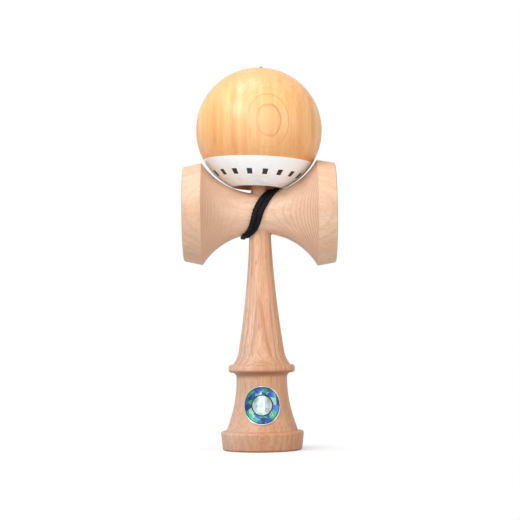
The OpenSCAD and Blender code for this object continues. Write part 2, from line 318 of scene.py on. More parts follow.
def windPoint(a):
    # the two turns lie beside one slanting middle line
    line = windLine(a)
    radius = windRadius(line)
    slope = math.degrees(windLine(a + 1) - windLine(a - 1)) / 2
    run = math.hypot(radius, slope)
    tight = 1 - wind["closeUp"] * max(0.0, math.sin(math.radians(a))) ** 2
    aside = wind["pitch"] * tight * (a - 360) / 360
    x = line + aside * radius / run
    turn = math.radians(a) - aside * slope / (radius * run)
    return Vector((x, windRadius(x) * math.cos(turn), neck["height"] - windRadius(x) * math.sin(turn)))


def windWay(a):
    return (windPoint(a + 1) - windPoint(a - 1)).normalized()


def bezierPoint(a, b, c, d, t):
    return a * (1 - t) ** 3 + b * 3 * t * (1 - t) ** 2 + c * 3 * t ** 2 * (1 - t) + d * t ** 3


def windingRoute(steps=9, turnSteps=24):
    height, firstTurn, lastTurn = neck["height"], wind["firstTurn"], wind["lastTurn"]
    first, last = windPoint(firstTurn), windPoint(lastTurn)
    start, end = Vector((0, wind["hole"], height)), Vector(wind["end"])
    leadIn = [start, start + Vector((0, wind["lead"], 0)),
              first - wind["leadEnd"] * windWay(firstTurn), first]
    leadOut = [last, last + wind["tailStart"] * windWay(lastTurn),
               end + Vector((0, 0, wind["tail"])), end]
    route = [Vector((0, y, height)) for y in wind["inHole"]]
    route += [bezierPoint(*leadIn, i / steps) for i in range(steps)]
    turns = round((lastTurn - firstTurn) * turnSteps / 360)
    route += [windPoint(firstTurn + 360 * i / turnSteps) for i in range(turns + 1)]
    route += [bezierPoint(*leadOut, i / steps) for i in range(1, steps + 1)]
    return route


# the slack loop behind the grip, then up behind the ball and in at its top
bightRoute = [(5.2, 13.2, 107.9), (5.2, 13.2, 106.4), (4.2, 13.2, 102.4), (3.4, 13.2, 98), (2.9, 13.2, 92),
              (2.5, 13.2, 86), (2.2, 13.2, 80), (2, 13.3, 74), (2, 13.4, 68), (2, 13.5, 63), (2, 14.2, 58.5),
              (2, 15.8, 54.8), (2, 18.8, 52), (2, 22.5, 51), (2, 26.2, 52), (2, 29.2, 54.8), (2, 30.8, 58.5),
              (2, 31.5, 63), (2, 31.5, 66)]
riserRoute = [(2, 31.5, 66), (2, 31.5, 70), (2, 31.6, 76), (2, 31.7, 84), (1.9, 31.8, 92), (1.8, 31.8, 100),
              (1.7, 31.8, 108), (1.6, 31.8, 116), (1.5, 31.8, 124), (1.4, 31.8, 132), (1.4, 31.8, 140),
              (1.4, 31.9, 148), (1.4, 31.6, 155), (1.4, 30.3, 161.6), (1.4, 28, 167.3), (1.4, 24.7, 172.2),
              (1.4, 20.5, 176.3), (1.4, 15.7, 179.5), (1.4, 11.4, 181.1), (1.3, 7.6, 182.1), (1.3, 5, 182.3),
              (1.3, 3, 181.9), (1.3, 1.3, 180.9), (1.3, 0.3, 179.2), (1.1, 0, 177), (1, 0, 174),
              (0.8, 0, 170), (0.6, 0, 165.5)]


def smoothRoute(points, step, parts=12):
    # an even run of points on one smooth curve through the route
    points = [Vector(p) for p in points]
    ends = [2 * points[0] - points[1]] + points + [2 * points[-1] - points[-2]]
    fine = []
    for a, b, c, d in zip(ends, ends[1:], ends[2:], ends[3:]):
        for i in range(parts):
            t = i / parts
            fine.append(0.5 * (2 * b + (c - a) * t + (2 * a - 5 * b + 4 * c - d) * t ** 2
                               + (3 * b - a - 3 * c + d) * t ** 3))
    fine.append(points[-1])
    far = [0.0]
    for a, b in zip(fine, fine[1:]):
        far.append(far[-1] + (b - a).length)
    count = round(far[-1] / step)
    even, k = [], 0
    for i in range(count + 1):
        want = far[-1] * i / count
        while k < len(far) - 2 and far[k + 1] < want:
            k += 1
        even.append(fine[k].lerp(fine[k + 1], (want - far[k]) / max(far[k + 1] - far[k], 1e-9)))
    return even, far[-1]


def braidHeight(around, along):
    # over and under of two sets of strands that wind opposite ways
    half = cord["strands"] / 2
    a = half * (around + along / cord["strandTurn"])
    b = half * (around - along / cord["strandTurn"])
    over = (math.floor(a) + math.floor(b)) % 2 == 0
    across, lengthways = (a % 1, b % 1) if over else (b % 1, a % 1)
    return math.sin(math.pi * across) * (1 - cord["dip"] + cord["dip"] * math.sin(math.pi * lengthways))


def pressed(point):
    # which way the tight string is squashed against the neck, and how far
    out = Vector((0, point.y, point.z - neck["height"]))
    away = out.length - neckRadius(max(-neck["smallX"], min(neck["bigX"], point.x)))
    share = max(0.0, min(1.0, (wind["looseAt"] - away) / (wind["looseAt"] - wind["stand"])))
    return out.normalized(), share * share * (3 - 2 * share)


def stringTube(points, onNeck=False):
    # a tube swept along the points, its braid in the mesh, with a UV map in mm along the string
    bm = bmesh.new()
    uv = bm.loops.layers.uv.new("UVMap")
    sides, radius = cord["sides"], cord["diameter"] / 2
    side = (points[1] - points[0]).normalized().orthogonal().normalized()
    rings, along = [], 0.0
    for i, point in enumerate(points):
        ahead = points[min(i + 1, len(points) - 1)] - points[max(i - 1, 0)]
        way = ahead.normalized()
        side = (side - way * side.dot(way)).normalized()
        other = way.cross(side)
        out, share = pressed(point) if onNeck else (side, 0.0)
        under = max(0.0, -out.z) ** 2 if onNeck else 0.0
        out = (out - way * out.dot(way)).normalized()
        squash = wind["flat"] * (1 - wind["thicken"] * under) * share
        spread = (wind["wider"] - wind["closeUp"] * under) * share
        if i:
            along += (point - points[i - 1]).length
        ring = []
        for k in range(sides):
            a = math.tau * k / sides
            r = radius * (1 - cord["relief"] * (1 - braidHeight(k / sides, along)))
            spoke = side * r * math.cos(a) + other * r * math.sin(a)
            rise = out * spoke.dot(out)
            spoke = rise * (1 - squash) + (spoke - rise) * (1 + spread)
            ring.append(bm.verts.new((point + spoke) * mm))
        rings.append((ring, along))
    for (low, lowFar), (high, highFar) in zip(rings, rings[1:]):
        for k in range(sides):
            face = bm.faces.new((low[k], low[(k + 1) % sides], high[(k + 1) % sides], high[k]))
            corners = ((k, lowFar), (k + 1, lowFar), (k + 1, highFar), (k, highFar))
            for loop, (turn, far) in zip(face.loops, corners):
                loop[uv].uv = (turn / sides, far)
    for ring in (rings[0][0], rings[-1][0]):
        bm.faces.new(ring)
    bmesh.ops.recalc_face_normals(bm, faces=bm.faces)
    return bm


def braidedPolyester():
    # black braided polyester: dull, with a painted glint: lighter, colder filaments laid by noise along the
    # string
    material, tree, skin = startMaterial("braided_polyester_black")
    place = addNode(tree, "TexCoord")
    drawn = addNode(tree, "Mapping", Vector=(place, "UV"),
                    Scale=(cord["filamentsRound"], 1 / cord["filamentLong"], 1.0))
    fibre = addNode(tree, "TexNoise", Vector=(drawn, "Vector"), Scale=1.0, Detail=3.0)
    low, high = cord["fibreSpan"]
    stops = [(low, hexColor(cord["sheath"])), (high, hexColor(cord["glint"]))]
    tint = addNode(tree, "ValToRGB", {"stops": stops}, Fac=(fibre, "Fac"))
    rough = addNode(tree, "MapRange", Value=(fibre, "Fac"), From_Min=low, From_Max=high,
                    To_Min=cord["dull"], To_Max=cord["shiny"])
    bump = addNode(tree, "Bump", Strength=cord["bump"], Distance=cord["filamentDeep"] * mm,
                   Height=(fibre, "Fac"))
    tree.links.new(tint.outputs["Color"], skin.inputs["Base Color"])
    tree.links.new(rough.outputs["Result"], skin.inputs["Roughness"])
    tree.links.new(bump.outputs["Normal"], skin.inputs["Normal"])
    skin.inputs["Specular IOR Level"].default_value = cord["specular"]
    return material


stringFinish = braidedPolyester()
lowerPoints, lowerLength = smoothRoute(windingRoute() + bightRoute, cord["ring"])
upperPoints, upperLength = smoothRoute(riserRoute, cord["ring"])
stringLower = makePiece("string_winding_and_loop", stringTube(lowerPoints, True), stringFinish,
                        sharp=80)
stringUpper = makePiece("string_riser_to_ball", stringTube(upperPoints), stringFinish,
                        sharp=80)
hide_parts("string_wrap", "string_bight")
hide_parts("string_riser")
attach(stringLower, "handle")
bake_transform(stringUpper)
dressNode("string_anchor_knot", stringFinish)
dressNode("string_end_knot", stringFinish)
print("string laid: %.0f mm in winding and loop, %.0f mm up to the ball" % (lowerLength, upperLength))


# wood, in mm

grain = {
    # what all the timber has in common; a span is the part of a noise that is used
    "detail": {"wobble": 2.0, "streak": 2.0, "fleck": 1.5, "pore": 2.0},
    "wobbleSpan": (0.25, 0.75), "patchSpan": (0.35, 0.65), "streakSpan": (0.3, 0.7),
    "fleckSpan": (0.58, 0.7), "poreSpan": (0.35, 0.7),
    "patchLeast": 0.2, "patchMost": 1.3,    # the rings come and go in patches
    "rimFade": 1.5, "rimLeft": 0.3,         # how fast the rings fade at a rim, and what is left of them
    "calmFrom": 0.4, "calmLeft": 0.06,      # the streaks fade where the cut turns to end grain
    "endFrom": 0.25, "endFull": 0.9,        # how far a face looks along the grain, from side to end grain
    "underShadeFrom": 0.0, "underShadeFull": -0.5,    # how far a face looks down, from no painted shade to all of it
    "poreDeep": 0.04, "roughSpread": 0.06,
}


def turnedWood(name, wood):
    # turned timber: growth rings about a pith, streaks and short ray flecks along the grain, and pores;
    # real pores are finer, and are drawn this coarse so that they show
    material, tree, skin = startMaterial(name)
    turn = [math.radians(v) for v in wood["turn"]]
    place = addNode(tree, "TexCoord")
    split = addNode(tree, "SeparateXYZ", Vector=(place, "Object"))
    fromPith = addNode(tree, "VectorMath", {"operation": "SUBTRACT"}, in0=(place, "Object"),
                       in1=[v * mm for v in wood["pith"]])
    turned = addNode(tree, "VectorRotate", {"rotation_type": "EULER_XYZ"}, Vector=(fromPith, "Vector"),
                     Rotation=turn)
    noise = {}
    for kind, detail in grain["detail"].items():
        # drawn out along the grain, which is Z once the coordinates are turned,
        # and along the rays, which are Y
        wide, long = wood[kind + "Wide"] * mm, wood[kind + "Long"] * mm
        drawn = addNode(tree, "VectorMath", {"operation": "MULTIPLY"}, in0=(turned, "Vector"),
                        in1=[1 / wide, 1 / (wide * wood["deep"]), 1 / long])
        noise[kind] = addNode(tree, "TexNoise", Vector=(drawn, "Vector"), Scale=1.0, Detail=detail)

    # growth rings
    low, high = grain["wobbleSpan"]
    shift = addNode(tree, "MapRange", Value=(noise["wobble"], "Fac"), From_Min=low, From_Max=high,
                    To_Min=-wood["wobble"], To_Max=wood["wobble"])
    phase = (shift, "Result")
    for middle, halfWide, halfHigh, many in wood["eyes"]:
        # a small eye, where the rings close round a bump in the grain
        fromEye = addNode(tree, "VectorMath", {"operation": "SUBTRACT"}, in0=(place, "Object"),
                          in1=[v * mm for v in middle])
        oval = addNode(tree, "VectorMath", {"operation": "MULTIPLY"}, in0=(fromEye, "Vector"),
                       in1=[1 / (v * mm) for v in (halfWide, halfWide, halfHigh)])
        off = addNode(tree, "VectorMath", {"operation": "LENGTH"}, in0=(oval, "Vector"))
        bulge = addNode(tree, "MapRange", {"interpolation_type": "SMOOTHSTEP"}, Value=(off, "Value"),
                        To_Min=many * math.tau, To_Max=0.0)
        phase = (addNode(tree, "Math", {"operation": "ADD"}, in0=phase, in1=(bulge, "Result")), "Value")
    rings = addNode(tree, "TexWave", {"wave_type": "RINGS", "rings_direction": "Z", "wave_profile": "SAW"},
                    Vector=(turned, "Vector"), Scale=math.tau / (20 * wood["ring"] * mm), Phase_Offset=phase)
    # each ring darkens slowly to its late wood and ends sharply
    darkening = [(0.0, grey(0.8)), (0.06, grey(0.0)), (wood["lateFrom"], grey(0.05)),
                 (0.5 + wood["lateFrom"] / 2, grey(0.6)), (1.0, grey(1.0))]
    late = addNode(tree, "ValToRGB", {"stops": darkening}, Fac=(rings, "Fac"))
    patches = addNode(tree, "TexNoise", Vector=(turned, "Vector"), Scale=1 / (wood["patch"] * mm), Detail=1.0)
    low, high = grain["patchSpan"]
    strength = addNode(tree, "MapRange", Value=(patches, "Fac"), From_Min=low, From_Max=high,
                       To_Min=grain["patchLeast"] * wood["ringShare"],
                       To_Max=grain["patchMost"] * wood["ringShare"])
    flat = addNode(tree, "VectorMath", {"operation": "MULTIPLY"}, in0=(turned, "Vector"), in1=(1.0, 1.0, 0.0))
    reach = addNode(tree, "VectorMath", {"operation": "LENGTH"}, in0=(flat, "Vector"))
    fade = addNode(tree, "MapRange", Value=(reach, "Value"), From_Min=wood["clearTo"] * mm,
                   From_Max=wood["fadedAt"] * mm, To_Min=1.0, To_Max=wood["faded"])
    weights = [(strength, "Result"), (fade, "Result")]
    if wood["plainBeyond"]:
        aside = addNode(tree, "Math", {"operation": "ABSOLUTE"}, in0=(split, "X"))
        onRim = addNode(tree, "MapRange", Value=(aside, "Value"),
                        From_Min=(wood["plainBeyond"] - grain["rimFade"]) * mm,
                        From_Max=wood["plainBeyond"] * mm, To_Min=1.0, To_Max=grain["rimLeft"])
        weights.append((onRim, "Result"))
    ringAmount = (late, "Color")
    for weight in weights:
        ringAmount = (addNode(tree, "Math", {"operation": "MULTIPLY"}, in0=ringAmount, in1=weight), "Value")

    # streaks, which calm down on end grain
    facing = addNode(tree, "VectorRotate", {"rotation_type": "EULER_XYZ"}, Vector=(place, "Normal"),
                     Rotation=turn)
    ends = addNode(tree, "SeparateXYZ", Vector=(facing, "Vector"))
    across = addNode(tree, "Math", {"operation": "ABSOLUTE"}, in0=(ends, "Z"))
    spread = addNode(tree, "MapRange", Value=(across, "Value"), From_Min=grain["calmFrom"],
                     From_Max=grain["endFull"], To_Min=0.5, To_Max=grain["calmLeft"])
    least = addNode(tree, "Math", {"operation": "SUBTRACT"}, in0=0.5, in1=(spread, "Result"))
    most = addNode(tree, "Math", {"operation": "ADD"}, in0=0.5, in1=(spread, "Result"))
    low, high = grain["streakSpan"]
    streak = addNode(tree, "MapRange", Value=(noise["streak"], "Fac"), From_Min=low, From_Max=high,
                     To_Min=(least, "Value"), To_Max=(most, "Value"))
    tint = addNode(tree, "Mix", {"data_type": "RGBA"}, in6=hexColor(wood["light"]),
                   in7=hexColor(wood["dark"]), Factor=(streak, "Result"))

    # everything else is laid over them in turn, as a colour and how much of it
    layers = []
    for axis, fromPlace, toPlace, color, amount in wood["shadeAndTone"]:
        # painted light and shade: a slow change of colour along an axis, a side paler where light falls or
        # darker where it does not; each piece's list says what it paints
        tone = addNode(tree, "MapRange", {"interpolation_type": "SMOOTHSTEP"}, Value=(split, axis),
                       From_Min=fromPlace * mm, From_Max=toPlace * mm, To_Min=0.0, To_Max=amount)
        layers.append((color, (tone, "Result")))
    layers.append((wood["late"], ringAmount))
    for kind, color in (("fleck", wood["fleck"]), ("pore", wood["late"])):
        low, high = grain[kind + "Span"]
        dark = addNode(tree, "MapRange", Value=(noise[kind], "Fac"), From_Min=low, From_Max=high,
                       To_Max=wood[kind + "Share"])
        layers.append((color, (dark, "Result")))
    # end grain drinks more and looks darker
    endGrain = addNode(tree, "MapRange", Value=(across, "Value"), From_Min=grain["endFrom"],
                       From_Max=grain["endFull"], To_Max=wood["endShare"])
    layers.append((wood["late"], (endGrain, "Result")))
    if wood["underShade"]:
        # painted shade under the ledges: faces that look down are darkened towards the late wood
        upright = addNode(tree, "SeparateXYZ", Vector=(place, "Normal"))
        under = addNode(tree, "MapRange", Value=(upright, "Z"), From_Min=grain["underShadeFrom"],
                        From_Max=grain["underShadeFull"], To_Max=wood["underShade"])
        layers.append((wood["late"], (under, "Result")))
    for color, amount in layers:
        tint = addNode(tree, "Mix", {"data_type": "RGBA"}, in6=(tint, 2), in7=hexColor(color), Factor=amount)

    rough = addNode(tree, "MapRange", Value=(noise["pore"], "Fac"), From_Min=0.3, From_Max=0.7,
                    To_Min=wood["roughness"] - grain["roughSpread"],
                    To_Max=wood["roughness"] + grain["roughSpread"])
    bump = addNode(tree, "Bump", Strength=wood["bump"], Distance=grain["poreDeep"] * mm,
                   Height=(noise["pore"], "Fac"))
    tree.links.new(tint.outputs[2], skin.inputs["Base Color"])
    tree.links.new(rough.outputs["Result"], skin.inputs["Roughness"])
    tree.links.new(bump.outputs["Normal"], skin.inputs["Normal"])
    skin.inputs["Coat Weight"].default_value = wood["coat"]
    skin.inputs["Coat Roughness"].default_value = wood["coatRoughness"]
    skin.inputs["Specular IOR Level"].default_value = wood["specular"]
    return material


# handle, in mm

handleWood = {
    # bare sanded beech: matt, pinkish tan, with short dark ray flecks and soft arches of growth ring
    "light": "#EBBD9B", "dark": "#D69D76", "late": "#A66C47", "fleck": "#9C6541",
    # painted light and shade: the left side paler twice over, for the sheen of light from that side, and the
    # handle darker towards the foot
    "shadeAndTone": [("X", 2, -8, "#F6DAC6", 0.66), ("Z", 66, 14, "#B9835F", 0.52), ("X", -7, -16, "#F6DAC6", 0.34)],
    "eyes": [((0.2, -19.4, 6.6), 4.4, 3.4, 1.9)],    # middle, half width, half height, rings in it
    # painted shade: faces that look down, under the collar, are darkened by the share set below
    "endShare": 0.25, "underShade": 0.75, "plainBeyond": None,
    "pith": (-3.0, -46.0, 40.0), "turn": (4.0, 1.5, 0.0), "deep": 1.0,
    "ring": 2.4, "ringShare": 0.42, "patch": 30.0, "lateFrom": 0.55,
    "clearTo": 30.0, "fadedAt": 70.0, "faded": 0.8,
    "wobble": 2.2, "wobbleWide": 9.0, "wobbleLong": 40.0, "streakWide": 3.2, "streakLong": 80.0,
    "fleckWide": 0.55, "fleckLong": 4.5, "fleckShare": 0.36,
    "poreWide": 0.45, "poreLong": 22.0, "poreShare": 0.36,
    "bump": 0.12, "roughness": 0.52, "coat": 0.0, "coatRoughness": 0.3, "specular": 0.5,
}
handle = {
    "baseR": 19.7, "footR": 18.7, "ringH": 9.1, "baseRound": 1.2,
    "cupR": 15.0, "cupDepth": 6.5, "lipRound": 0.4,
    "flareR": 16.8, "waistR": 12.0, "flareHollow": 1.3,
    # where the flare meets the base ring
    "nook": 0.05, "nookReach": 1.2, "nookLow": 0.02, "nookRound": 0.45,
    "collarR": 15.7, "collarZ": 36.5, "collarH": 3.7, "collarRound": 1.3, "cove": 2.2,
    "ledgeR": 13.6, "ledgeHollow": 0.5,
    "gripR": 10.8, "gripRise": 6.3, "gripTopR": 5.1, "gripHollow": 0.85,
    "spikeR": 4.3, "spikeLength": 37.0, "tipR": 1.6, "tipFrom": 4,
}


def flareRadius(z):
    low = handle["ringH"] + handle["baseRound"] / 2
    high = handle["collarZ"] - handle["cove"]
    t = (z - low) / (high - low)
    straight = handle["flareR"] + (handle["waistR"] - handle["flareR"]) * t
    return straight - 4 * handle["flareHollow"] * t * (1 - t)


def handleOutline(h):
    collarTop = h["collarZ"] + h["collarH"]
    gripZ = collarTop + h["gripRise"]
    flareLow = h["ringH"] + h["baseRound"] / 2
    flareHigh = h["collarZ"] - h["cove"]
    seat = neck["height"] - neck["radius"]
    neckTop = neck["height"] + neck["radius"]
    tip = neckTop + h["spikeLength"]
    foot, ring = (h["footR"], 0), (h["baseR"], h["ringH"])
    lipLow, lipHigh = (h["collarR"], h["collarZ"]), (h["collarR"], collarTop)
    cup = cupPoints(h["cupR"], h["cupDepth"], 0, 1)
    points = cup[:-1] + cornerPoints(cup[-2], cup[-1], foot, h["lipRound"], 5)
    points += cornerPoints(cup[-1], foot, ring, h["baseRound"])
    points += cornerPoints(foot, ring, (h["flareR"], h["ringH"]), h["baseRound"])
    flare = bowedPoints((h["flareR"], flareLow), (h["waistR"], flareHigh), h["flareHollow"], 30)
    onRing = (h["flareR"] + h["nookReach"], h["ringH"] + h["nookLow"])
    nook = (h["flareR"] + h["nook"], h["ringH"] + h["nook"])
    points += cornerPoints(onRing, nook, flare[2], h["nookRound"], 6)
    points += flare[2:]
    points += arcPoints((h["waistR"] + h["cove"], flareHigh), h["cove"], 180, 90, 10)[1:]
    points += cornerPoints((h["waistR"], h["collarZ"]), lipLow, lipHigh, h["collarRound"])
    points += cornerPoints(lipLow, lipHigh, (h["ledgeR"], collarTop), h["collarRound"])
    points += bowedPoints((h["ledgeR"], collarTop), (h["gripR"], gripZ), h["ledgeHollow"], 12)
    points += bowedPoints((h["gripR"], gripZ), (h["gripTopR"], seat), h["gripHollow"], 40)[1:]
    points += [(h["spikeR"], neckTop)]
    points += arcPoints((0, tip - h["tipR"]), h["tipR"], h["tipFrom"], 90, 10)
    return points


handlePiece = makePiece("ken_turned_handle", lathe(handleOutline(handle)),
                        turnedWood("bare_beech_handle", handleWood), sharp=50)
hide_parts("ken")
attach(handlePiece, "handle")
print("handle turned")


# cross-piece, in mm

crossWood = {
    # bare sanded beech, paler: fine arched ring lines on the flares, hardly any on the rims
    "light": "#F1CFB4", "dark": "#E4BC9E", "late": "#B98A68", "fleck": "#B0805D",
    # painted shade: the left flare darker, away from the light, and the right rim darker too
    "shadeAndTone": [("X", -6, -20, "#C99F80", 0.42), ("X", 22, 34, "#CFA07D", 0.3)],
    "eyes": [],
    "endShare": 0.18, "underShade": 0.0, "plainBeyond": 28.0,
    "pith": (0.0, 36.0, 112.5), "turn": (0.0, -90.0, 0.0), "deep": 1.0,
    "ring": 1.4, "ringShare": 0.62, "patch": 24.0, "lateFrom": 0.6,
    "clearTo": 50.0, "fadedAt": 46.0, "faded": 0.2,
    "wobble": 1.0, "wobbleWide": 9.0, "wobbleLong": 40.0, "streakWide": 3.0, "streakLong": 60.0,
    "fleckWide": 0.5, "fleckLong": 4.0, "fleckShare": 0.2,
    "poreWide": 0.35, "poreLong": 14.0, "poreShare": 0.24,
    "bump": 0.12, "roughness": 0.52, "coat": 0.0, "coatRoughness": 0.3, "specular": 0.5,
}
cross = {
    "bigLength": 36.0, "bigEndR": 23.7, "bigMouthR": 20.6, "bigDepth": 9.5,
    "smallLength": 36.3, "smallEndR": 22.4, "smallMouthR": 18.8, "smallDepth": 8.5,
    "edgeRound": 0.9, "lipRound": 0.5,
    "flareShare": 0.97,                   # the flares stop short of their rounded edges
    "taperGap": 0.06, "drillPast": 3,
    "stringHoleR": 1.45, "stringHoleY": (2, 14),
}


def flarePoints(start, end, steps=40):
    places = [start + (end - start) * i / steps for i in range(steps + 1)]
    return [(neckRadius(x), x) for x in places]


def crossOutline(c):
    smallEdge, smallEnd = (neck["smallR"], -neck["smallX"]), (c["smallEndR"], -c["smallLength"])
    bigEdge, bigEnd = (neck["bigR"], neck["bigX"]), (c["bigEndR"], c["bigLength"])
    smallCup = cupPoints(c["smallMouthR"], c["smallDepth"], -c["smallLength"], 1)
    bigCup = cupPoints(c["bigMouthR"], c["bigDepth"], c["bigLength"], -1)
    smallFlare = flarePoints(-c["flareShare"] * neck["smallX"], 0)
    bigFlare = flarePoints(0, c["flareShare"] * neck["bigX"])
    points = smallCup[:-1] + cornerPoints(smallCup[-2], smallCup[-1], smallEnd, c["lipRound"], 6)
    points += cornerPoints(smallCup[-1], smallEnd, smallEdge, c["edgeRound"])
    points += cornerPoints(smallEnd, smallEdge, smallFlare[0], c["edgeRound"] / 2)
    points += smallFlare + bigFlare[1:]
    points += cornerPoints(bigFlare[-1], bigEdge, bigEnd, c["edgeRound"] / 2)
    points += cornerPoints(bigEdge, bigEnd, bigCup[-1], c["edgeRound"])
    points += cornerPoints(bigEnd, bigCup[-1], bigCup[-2], c["lipRound"], 6)
    points += bigCup[-2::-1]
    return points


def makeCross(c):
    bm = lathe(crossOutline(c), 160)
    bmesh.ops.rotate(bm, verts=bm.verts, cent=(0, 0, 0), matrix=Matrix.Rotation(math.pi / 2, 3, "Y"))
    bmesh.ops.translate(bm, verts=bm.verts, vec=(0, 0, neck["height"] * mm))
    seat, top, past = neck["height"] - neck["radius"], neck["height"] + neck["radius"], c["drillPast"]
    slope = (handle["gripTopR"] - handle["spikeR"]) / (top - seat)
    lowR = handle["gripTopR"] + c["taperGap"] + past * slope
    highR = handle["spikeR"] + c["taperGap"] - past * slope
    taper = rodCutter((0, 0, seat - past), (0, 0, top + past), lowR, highR, 96)
    holeStart, holeEnd = [(0, y, neck["height"]) for y in c["stringHoleY"]]
    stringHole = rodCutter(holeStart, holeEnd, c["stringHoleR"], c["stringHoleR"], 40)
    return makePiece("sarado_cross_piece", bm, turnedWood("bare_beech_cross_piece", crossWood),
                     sharp=50, cutters=(taper, stringHole))


crossPiece = makeCross(cross)
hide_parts("sarado")
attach(crossPiece, "handle")
print("cross-piece turned and drilled")


# ball, in mm

ballWood = {
    # clear lacquered beech: warm, a soft gloss over straight streaks, a target of growth rings on its front
    "light": "#FACA88", "dark": "#EDA863", "late": "#C27A42", "fleck": "#B9733E",
    # more orange towards the bottom, and a painted highlight: a paler patch on the front of the ball
    "shadeAndTone": [("Z", 165, 122, "#E08F50", 0.55), ("Y", -25, -29.5, "#FFE9C8", 0.12)],
    "eyes": [],
    "endShare": 0.12, "underShade": 0.0, "plainBeyond": None,
    "pith": (10.6, -69.5, 158.0), "turn": (1.5, 0.0, 0.0), "deep": 4.0,
    "ring": 1.8, "ringShare": 1.05, "patch": 45.0, "lateFrom": 0.84,
    "clearTo": 42.2, "fadedAt": 45.0, "faded": 0.25,
    "wobble": 0.7, "wobbleWide": 10.0, "wobbleLong": 40.0, "streakWide": 2.6, "streakLong": 70.0,
    "fleckWide": 0.5, "fleckLong": 5.0, "fleckShare": 0.12,
    "poreWide": 0.5, "poreLong": 70.0, "poreShare": 0.2,
    "bump": 0.05, "roughness": 0.45, "coat": 0.3, "coatRoughness": 0.36, "specular": 0.5,
}
ball = {
    "radius": 30.0, "leanDegrees": 2.5, "height": 151.714, "mouthR": 12.0, "boreR": 10.5, "bevel": 2.4,
    "boreTop": 9.786, "pocketR": 4.3, "pocketTop": 19.986, "holeR": 1.45, "holeRound": 3.6,
    "bandTop": -15.2, "paint": 0.08, "mouthGap": 0.1,
    "edgeDegrees": 0.12,    # slope of the paint's upper edge
}
bandPaint = {
    "white": "#FFFFFF", "shade": "#F6F8FA", "ink": "#0C0B0D",
    # a row of plain marks round the band, at a height from the ball's middle
    "marks": 18, "markShare": 0.34, "markHigh": 2.3, "markAt": -21.8,
    "swell": 9.0, "swellDeep": 0.1, "bump": 0.05,
    "shiny": 0.24, "dull": 0.32, "coat": 0.3, "coatRoughness": 0.12,
}


def ballOutline(b):
    drop = math.sqrt(b["radius"] ** 2 - b["mouthR"] ** 2)
    ringR = b["holeR"] + b["holeRound"]
    ringZ = math.sqrt((b["radius"] - b["holeRound"]) ** 2 - ringR ** 2)
    turn = math.degrees(math.atan2(ringZ, ringR))
    mouth = -math.degrees(math.acos(b["mouthR"] / b["radius"]))
    bevelTop = (b["boreR"], b["bevel"] - drop)
    points = [bevelTop]
    points += arcPoints((0, 0), b["radius"], mouth, turn, 110)
    points += arcPoints((ringR, ringZ), b["holeRound"], turn, 180, 12)[1:]
    points += [(b["holeR"], b["pocketTop"]), (b["pocketR"], b["pocketTop"]), (b["pocketR"], b["boreTop"]),
               (b["boreR"], b["boreTop"]), bevelTop]
    return points


def bandOutline(b):
    # the dipped coat, a skin over the lower part of the ball
    inner, outer = b["radius"] - b["paint"], b["radius"] + b["paint"]
    mouth = -math.degrees(math.acos((b["mouthR"] + b["mouthGap"]) / outer))
    top = math.degrees(math.asin(b["bandTop"] / outer))
    points = arcPoints((0, 0), inner, top, mouth, 40)
    points += arcPoints((0, 0), outer, mouth, top - b["edgeDegrees"], 60)
    return points + [points[0]]


def intoBall(bm):
    lean = Matrix.Rotation(math.radians(ball["leanDegrees"]), 3, "Y")
    bmesh.ops.rotate(bm, verts=bm.verts, cent=(0, 0, 0), matrix=lean)
    bmesh.ops.translate(bm, verts=bm.verts, vec=(0, 0, ball["height"] * mm))
    return bm


